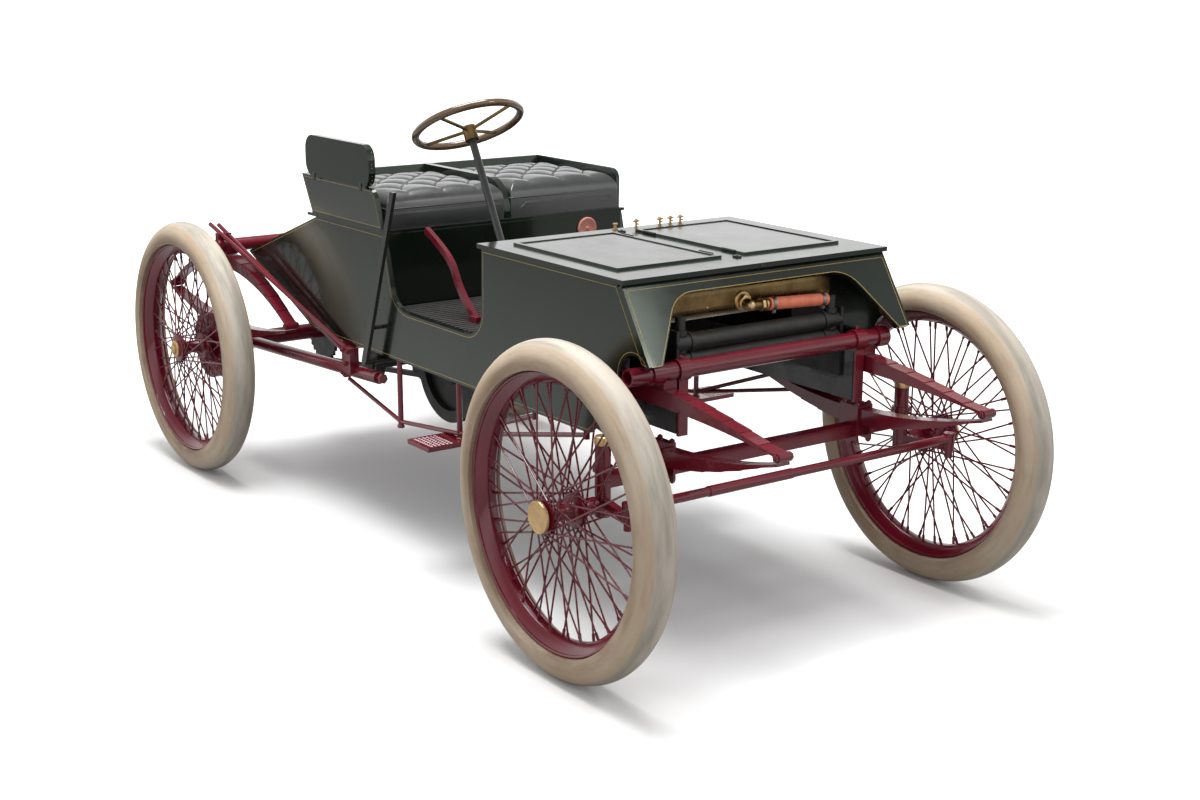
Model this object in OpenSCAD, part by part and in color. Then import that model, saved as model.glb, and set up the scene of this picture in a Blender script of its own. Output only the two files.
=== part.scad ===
// Two-seat racing car of about 1901: chain drive, wire wheels, full-elliptic springs.
// X runs forward, Y to the car's left, Z up. The origin is on the ground, halfway
// between the axles. Sizes are in millimetres.

/* [Stance] */
// Distance between the front and rear axle centres
wheelbase = 2438; // [2380:2:2500]
// Distance between the middles of the left and right tyres
track = 1383; // [1370:1:1410]

/* [Wheels] */
// Outside diameter of a tyre
tyre_d = 934; // [920:2:944]
// Diameter of the tyre's round section
tyre_section_d = 116; // [110:1:120]
// Diameter of the rim where the tyre seats
rim_d = 772; // [766:1:776]
// Width of the rim across its flanges
rim_w = 80; // [72:1:84]
// Spokes in one of the four sets of a wheel
spokes_per_set = 15; // [10:1:16]
// Diameter of a spoke
spoke_d = 5.5; // [3.5:0.5:5.5]
// Angle that a spoke leads or trails between hub and rim
spoke_lead = 70; // [50:1:76]
// Diameter of the hub's spoke flanges
flange_d = 96; // [88:1:100]
// Diameter of the wheel spindles
spindle_d = 32; // [28:1:36]
// How far a hub cap's face lies outboard of the tyre's middle
cap_reach = 79; // [76:1:86]
// Diameter of a front hub cap
front_cap_d = 92; // [84:1:96]
// Diameter of a rear hub cap
rear_cap_d = 62; // [56:1:70]

/* [Front axle and steering] */
// Distance of a steering pivot inboard of the tyre's middle
kingpin_in = 134.5; // [132:0.5:140]
// Height of the axle beam
axle_h = 40; // [34:1:44]
// Height of the axle beam's top
axle_top = 553; // [548:1:560]
// Width of the axle beam, fore and aft
axle_w = 34; // [28:1:40]
// Diameter of the steering pivots
kingpin_d = 24; // [20:1:28]
// How far the tie rod lies ahead of the pivots
arm_reach = 166; // [156:1:172]
// Diameter of the tie rod
tie_rod_d = 26; // [20:1:28]
// Outside diameter of the steering wheel
steering_d = 366; // [350:2:380]
// Diameter of the wooden rim's section
steering_rim_d = 24; // [22:1:30]
// Lean of the steering column from upright
column_lean = 28.5; // [26:0.5:30]
// Diameter of the steering column
column_d = 24; // [20:1:28]

/* [Springs] */
// Distance between the eyes of a spring
spring_len = 1018; // [1000:2:1024]
// Width of the leaves
leaf_w = 44; // [40:1:46]
// Thickness of one leaf
leaf_t = 8; // [7:0.5:8.5]
// Leaves in one half of a spring
leaf_n = 6; // [5:1:6]
// Distance of a front spring inboard of the body's side
front_spring_in = 109; // [102:1:112]
// Distance of a rear spring outboard of the body's side
rear_spring_out = 52; // [48:1:56]

/* [Frame] */
// Diameter of the front and rear cross tubes
cross_tube_d = 50; // [46:1:54]
// Bore of the cross tubes
cross_bore_d = 38; // [32:1:41]
// Length of the front cross tube
front_tube_len = 936; // [930:2:950]
// Height of the front cross tube's middle
front_tube_z = 814; // [810:1:818]
// Distance of a frame rail's inner face inboard of the body's side
rail_in = 170; // [169:1:178]
// Thickness of a frame rail
rail_t = 36; // [30:1:37]
// Height of the rails' underside
rail_bottom = 637; // [632:1:644]
// Diameter of the tubes that locate the rear axle
radius_tube_d = 43; // [38:1:46]
// Diameter of the stay rods above the rear springs
stay_d = 16; // [12:1:18]
// Diameter of the truss rods below the body
truss_d = 14; // [10:1:16]

/* [Body] */
// Distance from the body's side to the tyre's middle
wheel_gap = 213.5; // [210:0.5:220]
// Thickness of the body's boards
board_t = 16; // [12:1:18]
// Height of the body's lower edge
sill_z = 611; // [606:1:618]
// Height of the boards under the seat
seat_z = 1016; // [1006:1:1024]
// Top of the cockpit floor
floor_z = 774; // [770:1:777]
// Top of the bonnet sides
bonnet_z = 1052; // [1046:1:1058]
// Thickness of the bonnet's top
bonnet_top_t = 14; // [11:1:16]
// Length of a bonnet lid
lid_len = 520; // [500:2:530]
// Distance of a bonnet lid's outer edge from the body's side
lid_margin = 70; // [62:1:86]
// Opening height of the arch in the front panel
arch_h = 194; // [184:1:202]
// Height of the seat's sides above its base
seat_side_h = 134; // [126:1:140]
// Height of the guard board beside the driver
guard_h = 139; // [128:1:146]

/* [Hidden] */
$fa = 6;
$fs = 3;
fit = 0.3;
axle_x = wheelbase / 2;
wheel_y = track / 2;
wheel_z = tyre_d / 2;
half_w = wheel_y - wheel_gap;
front_spring_y = half_w - front_spring_in;
rear_spring_y = half_w + rear_spring_out;
rail_y = half_w - rail_in;
eye_d = 26;
pack_h = leaf_t * leaf_n;
spring_half_len = spring_len / 2;
lap = 0.5;

red = "#5a1220";
dark_green = "#1b201c";
cream = "#d8c7ab";
brass = "#b08d4e";
black = "#161616";

// A round bar between two points
module bar(from, to, d) {
    run = to - from;
    reach = norm(run);
    translate(from)
        rotate([0, acos(run.z / reach), atan2(run.y, run.x)])
            cylinder(h = reach, d = d);
}

// A round bar along Y, centred on the point
module cross_bar(centre, d, length) {
    translate(centre) rotate([90, 0, 0]) cylinder(h = length, d = d, center = true);
}

// A plate with its outline in X and Z, from y_inner to y_inner + t
module upright_plate(outline, y_inner, t) {
    translate([0, y_inner + t, 0]) rotate([90, 0, 0]) linear_extrude(t) polygon(outline);
}

// A box between two corners
module block(low, high) {
    translate(low) cube(high - low);
}

// Points along an arc in a plane
function arc(centre, r, a0, a1, steps) =
    [for (i = [0:steps]) centre + r * [cos(a0 + (a1 - a0) * i / steps), sin(a0 + (a1 - a0) * i / steps)]];

// Wheels. A wheel is drawn about its own middle with its outboard side at +Z.
tyre_r = tyre_section_d / 2;
tyre_mid_r = tyre_d / 2 - tyre_r;
rim_r = rim_d / 2;
rim_wall = 6;
rim_depth = 36;
rim_nose_w = 26;
hub_r = 27;
flange_r = flange_d / 2;
flange_z = 31;
flange_w = 20;
hub_in = 52;
spoke_gap = 8;
bore_clear = 0.15;

module tyre() {
    rotate_extrude($fn = 96)
        intersection() {
            translate([tyre_mid_r, 0]) circle(r = tyre_r, $fn = 48);
            translate([rim_r + fit, -tyre_r]) square([tyre_section_d, tyre_section_d]);
        }
}

// One set of spokes, from the hub flange at height z_hub to the rim at height z_rim;
// start is the angle of the first spoke at the rim
module spoke_set(z_hub, z_rim, lead, start) {
    hub_hold = flange_r - 5;
    rim_hold = rim_r - rim_depth + 4;
    for (i = [0:spokes_per_set - 1]) {
        a = start + i * 360 / spokes_per_set;
        bar([hub_hold * cos(a - lead), hub_hold * sin(a - lead), z_hub],
            [rim_hold * cos(a), rim_hold * sin(a), z_rim], spoke_d);
    }
}

module wire_wheel() {
    step = 360 / spokes_per_set;
    flange_sides = [1, -1];
    // Columns: flange, direction of the lead, share of a step at the rim
    spoke_sets = [[1, 1, 0], [-1, -1, 0.25], [1, -1, 0.5], [-1, 1, 0.75]];
    difference() {
        union() {
            rotate_extrude($fn = 96)
                polygon([[rim_r, -rim_w / 2], [rim_r, rim_w / 2],
                         [rim_r - rim_wall, rim_w / 2], [rim_r - rim_depth, rim_nose_w / 2],
                         [rim_r - rim_depth, -rim_nose_w / 2], [rim_r - rim_wall, -rim_w / 2]]);
            translate([0, 0, -hub_in]) cylinder(h = hub_in + cap_reach - 16, r = hub_r);
            for (s = flange_sides)
                translate([0, 0, s * flange_z - flange_w / 2]) cylinder(h = flange_w, r = flange_r);
            for (row = spoke_sets)
                spoke_set(row[0] * (flange_z + row[1] * spoke_gap / 2),
                          row[0] * spoke_gap * (0.875 + row[1] * 0.375),
                          row[1] * spoke_lead, row[2] * step);
        }
        translate([0, 0, -hub_in - 1]) cylinder(h = hub_in + 60, d = spindle_d + 2 * bore_clear);
    }
}

module hub_cap(cap_d) {
    translate([0, 0, cap_reach - 16 + fit])
        rotate_extrude()
            polygon([[0, 0], [hub_r + 3, 0], [cap_d / 2, 6], [cap_d / 2, 13 - fit],
                     [cap_d / 2 - 3, 16 - fit], [0, 16 - fit]]);
}

// Places a wheel's piece: x and side -1 for the right, 1 for the left
module at_wheel(x, side) {
    translate([x, side * wheel_y, wheel_z]) rotate([-side * 90, 0, 0]) children();
}

module tyre_front_right() { color(cream) at_wheel(axle_x, -1) tyre(); }
module tyre_front_left() { color(cream) at_wheel(axle_x, 1) tyre(); }
module tyre_rear_right() { color(cream) at_wheel(-axle_x, -1) tyre(); }
module tyre_rear_left() { color(cream) at_wheel(-axle_x, 1) tyre(); }
module wheel_front_right() { color(red) at_wheel(axle_x, -1) wire_wheel(); }
module wheel_front_left() { color(red) at_wheel(axle_x, 1) wire_wheel(); }
module wheel_rear_right() { color(red) at_wheel(-axle_x, -1) wire_wheel(); }
module wheel_rear_left() { color(red) at_wheel(-axle_x, 1) wire_wheel(); }
module hub_cap_front_right() { color(brass) at_wheel(axle_x, -1) hub_cap(front_cap_d); }
module hub_cap_front_left() { color(brass) at_wheel(axle_x, 1) hub_cap(front_cap_d); }
module hub_cap_rear_right() { color(brass) at_wheel(-axle_x, -1) hub_cap(rear_cap_d); }
module hub_cap_rear_left() { color(brass) at_wheel(-axle_x, 1) hub_cap(rear_cap_d); }

// Front axle and steering
kingpin_y = wheel_y - kingpin_in;
sleeve_d = 44;
sleeve_low = 500;
sleeve_high = 632;
arm_y = kingpin_y * (1 + arm_reach / wheelbase);
arm_top = 486;
arm_t = 20;
nut_h = 22;
tie_pin_d = 16;
spindle_end = wheel_y + 4;

module front_axle() {
    color(red)
        difference() {
            union() {
                block([axle_x - axle_w / 2, -kingpin_y, axle_top - axle_h],
                      [axle_x + axle_w / 2, kingpin_y, axle_top]);
                for (s = [-1, 1])
                    translate([axle_x, s * kingpin_y, 0]) {
                        translate([0, 0, sleeve_low]) cylinder(h = sleeve_high - sleeve_low, d = sleeve_d);
                        translate([0, 0, axle_top + 6]) cylinder(h = 14, d = sleeve_d + 12);
                    }
            }
            for (s = [-1, 1])
                translate([axle_x, s * kingpin_y, sleeve_low - 1])
                    cylinder(h = sleeve_high - sleeve_low + 2, d = kingpin_d + 2 * fit);
        }
}

// A steering knuckle: pivot pin, spindle and the arm that meets the tie rod
module knuckle(side) {
    yoke_low = wheel_z - 34;
    collar_from = sleeve_d / 2 + 5;
    translate([axle_x, side * kingpin_y, 0]) {
        translate([0, 0, yoke_low]) cylinder(h = sleeve_low - fit - yoke_low, d = sleeve_d);
        translate([0, 0, sleeve_low - 2]) cylinder(h = sleeve_high - sleeve_low + 4, d = kingpin_d);
        translate([0, 0, sleeve_high + fit]) cylinder(h = 10, d = kingpin_d + 10);
        translate([0, 0, wheel_z]) rotate([-side * 90, 0, 0]) {
            cylinder(h = spindle_end - kingpin_y + 20, d = spindle_d);
            translate([0, 0, collar_from])
                cylinder(h = wheel_y - kingpin_y - hub_in - 2 - collar_from, d = spindle_d + 16);
        }
    }
}

module steering_arm(side) {
    eye_r = 16;
    arm_w = 22;
    lean = atan2(side * (arm_y - kingpin_y), arm_reach);
    run = norm([arm_reach, arm_y - kingpin_y]);
    translate([axle_x, side * kingpin_y, arm_top - arm_t]) rotate([0, 0, lean])
        linear_extrude(arm_t)
            union() {
                translate([0, -arm_w / 2]) square([run, arm_w]);
                translate([run, 0]) circle(r = eye_r);
            }
}

module knuckle_right() {
    color(red)
        difference() {
            union() {
                knuckle(-1);
                steering_arm(-1);
            }
            translate([axle_x + arm_reach, -arm_y, arm_top - 2 * arm_t])
                cylinder(h = 3 * arm_t, d = tie_pin_d + 2 * fit);
        }
}

module knuckle_left() {
    color(red) {
        knuckle(1);
        steering_arm(1);
        translate([axle_x + arm_reach, arm_y, arm_top - arm_t - nut_h]) cylinder(h = nut_h + 2, d = 24);
    }
}

// The tie rod turns on a pin in the right arm. Its left boss only lies on the left arm.
module tie_rod() {
    boss_low = arm_top + fit;
    boss_h = 34;
    rod_z = boss_low + boss_h / 2 - 1;
    tie_x = axle_x + arm_reach;
    nut_low = arm_top - arm_t - fit - nut_h;
    color(red) {
        cross_bar([tie_x, 0, rod_z], tie_rod_d, 2 * arm_y);
        cross_bar([tie_x, -arm_y * 0.3, rod_z], tie_rod_d + 4, arm_y * 0.5);
        for (s = [-1, 1])
            translate([tie_x, s * arm_y, boss_low]) cylinder(h = boss_h, d = boss_h);
        translate([tie_x, -arm_y, nut_low]) cylinder(h = boss_low + 2 - nut_low, d = tie_pin_d);
        translate([tie_x, -arm_y, nut_low]) cylinder(h = nut_h, d = tie_pin_d + 8);
    }
}

// Springs. Columns: axle x, distance from the centre line, upper inner height,
// lower inner height, height of the eyes
front_spring = [axle_x, front_spring_y, 719, axle_top + pack_h + fit, 687];
rear_spring = [-axle_x, rear_spring_y, 757, 545, 615];
springs = [front_spring, rear_spring];

// Outline of half a spring in X and Z, with its master leaf's inner face at zero in the
// middle and rise lower at the ends. The leaves end in small steps toward the eyes.
leaf_tip = 2;
leaf_step = 0.145;
function half_outline(rise) =
    let (
        r = (pow(spring_half_len, 2) + pow(rise, 2)) / (2 * rise),
        sweep = asin(spring_half_len / r),
        ends = [for (i = [1:leaf_n - 1], k = [0, 1]) [1 - i * leaf_step, i * leaf_t + k * leaf_tip]],
        half = concat([[1, leaf_t]], ends, [[1 - leaf_n * leaf_step, pack_h]]),
        last = len(half) - 1,
        outer = concat(half, [for (i = [last:-1:0]) [-half[i][0], half[i][1]]])
    )
    concat(
        [for (p = outer) (r + p[1]) * [sin(p[0] * sweep), cos(p[0] * sweep)] - [0, r]],
        [for (u = [-1:1 / 12:1]) r * [sin(u * sweep), cos(u * sweep)] - [0, r]]);

module springs_upper() {
    color(red)
        for (row = springs, s = [-1, 1]) {
            rise = row[2] - row[4];
            translate([row[0], s * row[1] + leaf_w / 2, row[2]]) rotate([90, 0, 0]) linear_extrude(leaf_w)
                union() {
                    polygon(half_outline(rise));
                    for (e = [-1, 1])
                        translate([e * spring_half_len, -rise]) circle(d = eye_d);
                }
        }
}

module springs_lower() {
    color(red)
        for (row = springs, s = [-1, 1])
            translate([row[0], s * row[1] - leaf_w / 2, row[3]]) rotate([-90, 0, 0]) linear_extrude(leaf_w)
                polygon(half_outline(row[4] - eye_d / 2 - fit - row[3] - 1.2));
}

// Clamps that hold the packs to axles and cross tubes
module spring_clamps() {
    clamp_len = 76;
    cheek_t = 8;
    cap_t = 10;
    cheek_in = leaf_w / 2 + fit;
    color(red) {
        for (row = springs, s = [-1, 1]) {
            front = row[0] > 0;
            tube_z = front ? front_tube_z : rear_tube_z;
            tube_x = front ? front_tube_x : rear_tube_x;
            foot = front ? axle_top - axle_h - 10 : wheel_z - rear_axle_d / 2 - 10;
            translate([row[0], s * row[1], 0]) {
                difference() {
                    union() {
                        for (c = [-1, 1])
                            block([-clamp_len / 2, c > 0 ? cheek_in : -cheek_in - cheek_t, foot],
                                  [clamp_len / 2, c > 0 ? cheek_in + cheek_t : -cheek_in, row[3] + cap_t]);
                        block([-clamp_len / 2, -cheek_in - lap, row[3] + fit + 1.5],
                              [clamp_len / 2, cheek_in + lap, row[3] + cap_t]);
                    }
                    if (front)
                        block([-axle_w / 2 - fit, -leaf_w, axle_top - axle_h - fit],
                              [axle_w / 2 + fit, leaf_w, axle_top + fit]);
                    else
                        cross_bar([0, 0, wheel_z], rear_axle_d + 2 * fit, 3 * leaf_w);
                }
                difference() {
                    block([-clamp_len / 2, -leaf_w / 2, row[2] + pack_h + fit],
                          [max(clamp_len / 2, tube_x - row[0] + 12), leaf_w / 2, tube_z + 6]);
                    cross_bar([tube_x - row[0], 0, tube_z], cross_tube_d + 2 * fit, 3 * leaf_w);
                }
            }
        }
        for (s = [-1, 1])
            difference() {
                block([-axle_x - clamp_len / 2, s * rear_spring_y - 20, wheel_z + 10],
                      [-axle_x + clamp_len / 2, s * rear_spring_y + 20, rear_spring[3] - pack_h - fit]);
                cross_bar([-axle_x, 0, wheel_z], rear_axle_d + 2 * fit, 2 * track);
            }
    }
}

// Cross tubes
front_tube_x = axle_x + 36;
front_tube_y = -36;
rear_tube_x = -axle_x;
rear_tube_z = 834;
rear_tube_len = 2 * rear_spring_y + 90;
sleeve_wall = 6;
rail_front_x = front_tube_x + 6;
post_t = 10;

module cross_tubes() {
    color(red) {
        difference() {
            union() {
                cross_bar([front_tube_x, front_tube_y, front_tube_z], cross_tube_d, front_tube_len);
                for (s = [-1, 1]) {
                    cross_bar([front_tube_x, s * (front_spring_y - leaf_w), front_tube_z],
                              cross_tube_d + 2 * sleeve_wall, 40);
                    cross_bar([front_tube_x, s * (front_spring_y + leaf_w), front_tube_z],
                              cross_tube_d + 2 * sleeve_wall, 40);
                    block([rail_front_x + fit, s > 0 ? rail_y + 2 : -rail_y - rail_t + 2, rail_bottom - 6],
                          [rail_front_x + post_t, s > 0 ? rail_y + rail_t - 2 : -rail_y - 2,
                           front_tube_z - 8]);
                }
            }
            cross_bar([front_tube_x, front_tube_y, front_tube_z], cross_bore_d, front_tube_len + 2);
        }
        difference() {
            cross_bar([rear_tube_x, 0, rear_tube_z], cross_tube_d, rear_tube_len);
            cross_bar([rear_tube_x, 0, rear_tube_z], cross_bore_d, rear_tube_len + 2);
        }
    }
}

// Frame rails, one each side, rising to the rear cross tube
rail_top = floor_z - 12 - fit;
rail_kick_x = -640;

module frame_rails() {
    hanger_w = 64;
    color(black)
        for (s = [-1, 1])
            difference() {
                upright_plate([[rail_front_x, rail_bottom], [rail_front_x, front_tube_z],
                               [rail_front_x - 90, front_tube_z - 20], [rail_front_x - 170, rail_top],
                               [rail_kick_x, rail_top], [rear_tube_x - 10, rear_tube_z - 14],
                               [rear_tube_x - 10, rear_tube_z - 60], [rail_kick_x, rail_bottom],
                               [pinion_x - hanger_w, rail_bottom], [pinion_x - hanger_w / 2, pinion_z - 36],
                               [pinion_x + hanger_w / 2, pinion_z - 36], [pinion_x + hanger_w, rail_bottom]],
                              s > 0 ? rail_y : -rail_y - rail_t, rail_t);
                cross_bar([pinion_x, 0, pinion_z], shaft_d + 2 * fit, track);
                cross_bar([front_tube_x, 0, front_tube_z], cross_tube_d + 2 * sleeve_wall + 2 * fit, track);
                cross_bar([rear_tube_x, 0, rear_tube_z], cross_tube_d + 2 * fit, track);
            }
}

// Rear axle with its chain drive
rear_axle_d = 60;
drum_d = 250;
chain_y = -150;
sprocket_r = 118;
pinion_r = 66;
pinion_x = -470;
pinion_z = 500;
shaft_d = 44;

module rear_axle() {
    casing_d = 190;
    color(red) {
        cross_bar([-axle_x, 0, wheel_z], rear_axle_d, 2 * (wheel_y - hub_in - 4));
        cross_bar([-axle_x, 0, wheel_z], spindle_d, 2 * (spindle_end + 16));
        cross_bar([-axle_x, 0, wheel_z], casing_d, 120);
        for (s = [-1, 1])
            cross_bar([-axle_x, s * (wheel_y - hub_in - 30), wheel_z], drum_d, 34);
    }
}

// Toothed wheel in the XZ plane
module toothed(r, teeth, t) {
    rotate([90, 0, 0]) linear_extrude(t, center = true)
        polygon([for (i = [0:2 * teeth - 1])
            (r + (i % 2 == 0 ? 7 : -5)) * [cos(i * 180 / teeth), sin(i * 180 / teeth)]]);
}

// Chain drawn round the two sprockets, with its link ends as a row of teeth outside
module drive_chain() {
    link_t = 20;
    dx = pinion_x + axle_x;
    dz = pinion_z - wheel_z;
    span = norm([dx, dz]);
    slope = atan2(dz, dx);
    swing = acos((sprocket_r - pinion_r) / span);
    run = span * sin(swing);
    links = floor(run / 32);
    color(black)
        difference() {
            translate([-axle_x, chain_y, wheel_z]) rotate([0, -slope, 0]) {
                toothed(sprocket_r, 30, 12);
                translate([span, 0, 0]) toothed(pinion_r, 17, 12);
                cross_bar([span, 46, 0], 190, 60);
                cross_bar([span, -70, 0], shaft_d, 260);
                for (s = [-1, 1])
                    rotate([0, s * (90 - swing), 0])
                        for (i = [0:links])
                            block([i * run / links - 12, -link_t / 2, s * sprocket_r - 9],
                                  [i * run / links + 12 + (i < links ? 10 : 0), link_t / 2,
                                   s * sprocket_r + 9]);
            }
            cross_bar([-axle_x, chain_y, wheel_z], rear_axle_d + 2 * fit, 60);
        }
}

// Tubes from the rear axle forward to the sills, one each side
tube_y = half_w - 2;
tube_front = [-167, 527];
tube_clamp_x = -394;
function tube_z(x) = wheel_z + (tube_front[1] - wheel_z) * (x + axle_x) / (tube_front[0] + axle_x);

module radius_tubes() {
    bracket_t = 26;
    color(red)
        for (s = [-1, 1])
            difference() {
                union() {
                    bar([-axle_x, s * tube_y, wheel_z],
                        [tube_front[0], s * tube_y, tube_front[1]], radius_tube_d);
                    bar([tube_front[0], s * tube_y, tube_front[1]],
                        [tube_front[0] + 22, s * tube_y, tube_z(tube_front[0] + 22)], 26);
                    cross_bar([-axle_x, s * tube_y, wheel_z], rear_axle_d + 26, 36);
                    cross_bar([tube_clamp_x, s * tube_y, tube_z(tube_clamp_x)], 58, bracket_t);
                    block([tube_clamp_x - 24, s * (half_w - 13) - bracket_t / 2, tube_z(tube_clamp_x)],
                          [tube_clamp_x + 24, s * (half_w - 13) + bracket_t / 2, sill_z - fit]);
                }
                cross_bar([-axle_x, 0, wheel_z], rear_axle_d + 2 * fit, track);
            }
}

// Twin stay rods each side, from the sill bracket up to a lug on the rear cross tube
module stay_rods() {
    front_foot = [tube_clamp_x + 60, half_w + 14, 585];
    rear_head = [-axle_x - 84, rear_spring_y + 30, 905];
    twin = 34;
    color(red)
        for (s = [-1, 1])
            difference() {
                union() {
                    for (k = [0, 1])
                        bar([front_foot.x, s * front_foot.y, front_foot.z - k * 20],
                            [rear_head.x, s * (rear_head.y - k * twin), rear_head.z - k * 6], stay_d);
                    block([front_foot.x - 30, s > 0 ? half_w + fit : -half_w - 34, tube_z(front_foot.x)],
                          [front_foot.x + 30, s > 0 ? half_w + 34 : -half_w - fit, sill_z - 8]);
                    block([rear_tube_x - 22, s * (rear_head.y - 18) - 27, rear_tube_z + 2],
                          [rear_tube_x + 4, s * (rear_head.y - 18) + 27, rear_tube_z + 46]);
                }
                cross_bar([rear_tube_x, 0, rear_tube_z], cross_tube_d + 2 * fit, 2 * track);
                bar([-axle_x, s * tube_y, wheel_z], [tube_front[0], s * tube_y, tube_front[1]],
                    radius_tube_d + 2 * fit);
            }
}

// Truss rods with their posts and a step each side. Columns: x, z of each joint
truss_points = [[tube_clamp_x, 478], [-39, 404], [335, 447], [1020, 600]];
truss_y = half_w - 8;
brace_head = [760, 600];

module truss_rods() {
    step_len = 130;
    step_reach = 136;
    step_z = truss_points[2][1] - 16;
    color(red)
        for (s = [-1, 1]) {
            for (i = [0:2])
                bar([truss_points[i][0], s * truss_y, truss_points[i][1]],
                    [truss_points[i + 1][0], s * truss_y, truss_points[i + 1][1]], truss_d);
            bar([truss_points[2][0], s * truss_y, truss_points[2][1]],
                [brace_head[0], s * truss_y, brace_head[1]], truss_d);
            for (p = [truss_points[1], truss_points[2], truss_points[3], brace_head])
                bar([p[0], s * truss_y, p[1] - 12],
                    [p[0], s * truss_y, sill_z - fit], truss_d + 4);
            block([truss_points[2][0] - step_len * 0.7,
                   s > 0 ? truss_y - 8 : -truss_y - step_reach, step_z - 14],
                  [truss_points[2][0] + step_len * 0.3,
                   s > 0 ? truss_y + step_reach : -truss_y + 8, step_z]);
        }
}

// Engine: crankcase with one cylinder ahead and one behind it, and the flywheel
crank = [-60, rail_y * 0.325, 560];
case_half_w = rail_y * 0.487;
crank_d = 56;
flywheel_y = -rail_y + 58;

module engine_block() {
    barrel_len = 960;
    barrel_d = 230;
    plate_from = 300;
    color(black) {
        block(crank - [130, case_half_w, 110], crank + [130, case_half_w, 110]);
        translate(crank) rotate([0, 90, 0]) cylinder(h = barrel_len, d = barrel_d, center = true);
        for (e = [-1, 1]) {
            translate(crank + [e * (barrel_len / 2 + 10), 0, 0])
                rotate([0, 90, 0]) cylinder(h = 40, d = barrel_d + 20, center = true);
            block([crank.x + e * plate_from - 40, -rail_y - rail_t, rail_bottom - 12],
                  [crank.x + e * plate_from + 40, rail_y + rail_t, rail_bottom - fit]);
        }
        cross_bar([crank.x, flywheel_y / 2, crank.z], crank_d, -flywheel_y + 70);
    }
}

module flywheel() {
    bore_r = crank_d / 2 + fit;
    color(black)
        translate([crank.x, flywheel_y, crank.z]) rotate([90, 0, 0])
            rotate_extrude()
                polygon([[bore_r, -30], [60, -30], [60, -12], [150, -12], [150, -32], [190, -32],
                         [190, 32], [150, 32], [150, 12], [60, 12], [60, 30], [bore_r, 30]]);
}

// Under the bonnet: tank, hose and cooling pipes
tank_x = [960, 1150];
tank_z = [908, 1029];
tank_corner = 46;
tank_half_len = rail_y + 2;
outlet_y = -25;
outlet_z = 945;
pipe_x = 1190;
pipe_rows = [868, 818];
pipe_d = 52;
hose_x = 1186;
hose_d = 36;
tail_pipe_d = 26;

// A box with rounded long edges, and an elbow that turns left in front of it
module brass_tank() {
    outline = concat(
        arc([tank_x[1] - tank_corner, tank_z[0] + tank_corner], tank_corner, -90, 0, 8),
        arc([tank_x[1] - tank_corner, tank_z[1] - tank_corner], tank_corner, 0, 90, 8),
        arc([tank_x[0] + tank_corner, tank_z[1] - tank_corner], tank_corner, 90, 180, 8),
        arc([tank_x[0] + tank_corner, tank_z[0] + tank_corner], tank_corner, 180, 270, 8));
    color(brass) {
        upright_plate(outline, -tank_half_len, 2 * tank_half_len);
        bar([tank_x[1] - 20, outlet_y, outlet_z + 10], [hose_x + 4, outlet_y, outlet_z], 30);
        bar([hose_x, outlet_y - 10, outlet_z], [hose_x, 52, outlet_z - 4], tail_pipe_d);
    }
}

module tank_hose() {
    color("#c8553d")
        difference() {
            bar([hose_x, 40, outlet_z - 3.5], [hose_x, rail_y - 46, outlet_z - 14], hose_d);
            bar([hose_x, outlet_y - 10, outlet_z], [hose_x, 52, outlet_z - 4], tail_pipe_d + 2 * fit);
        }
}

module pipe_bank() {
    header_y = rail_y - 30;
    header_top = outlet_z - 2;
    plate_t = 10;
    plate_x = [tank_x[0] + 40, pipe_x + 24];
    color(black) {
        for (z = pipe_rows)
            cross_bar([pipe_x, 0, z], pipe_d, 2 * (rail_y - fit - 2));
        for (s = [-1, 1]) {
            translate([pipe_x, s * header_y, pipe_rows[1]])
                cylinder(h = header_top - pipe_rows[1], d = 30);
            block([plate_x[0], s > 0 ? rail_y - plate_t - fit : -rail_y + fit, rail_top - 60],
                  [plate_x[1], s > 0 ? rail_y - fit : -rail_y + plate_t + fit, tank_z[0] - fit]);
        }
    }
}

// Body. Points of the side outline, X and Z
tail = [-1150, 818];
tail_root_x = -630;
seat_rear_x = -581;
door_rear_x = -113;
door_front_x = 489;
door_low = 777;
nose_top_x = 1189;
nose_low = [1321, 842];
nose_lean = atan((nose_low.x - nose_top_x) / (bonnet_z - nose_low.y));
nose_back = board_t / cos(nose_lean);
tube_scallop_r = 62;

side_outline = concat(
    [tail, [tail_root_x, sill_z], [1040, sill_z], [1130, 690], [1150, 760]],
    arc([front_tube_x - 8, front_tube_z - 6], tube_scallop_r, 190, 34, 10),
    [[nose_low.x - nose_back - fit, nose_low.y], [nose_top_x - nose_back - fit, bonnet_z],
     [door_front_x, bonnet_z]],
    arc([395, door_low + 92], 92, -8, -90, 6),
    arc([34, door_low + 110], 110, -90, -172, 6),
    [[door_rear_x, seat_z], [seat_rear_x, seat_z]]
);

module body_sides() {
    color(dark_green)
        for (s = [-1, 1])
            upright_plate(side_outline, s > 0 ? half_w - board_t : -half_w, board_t);
}

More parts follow.
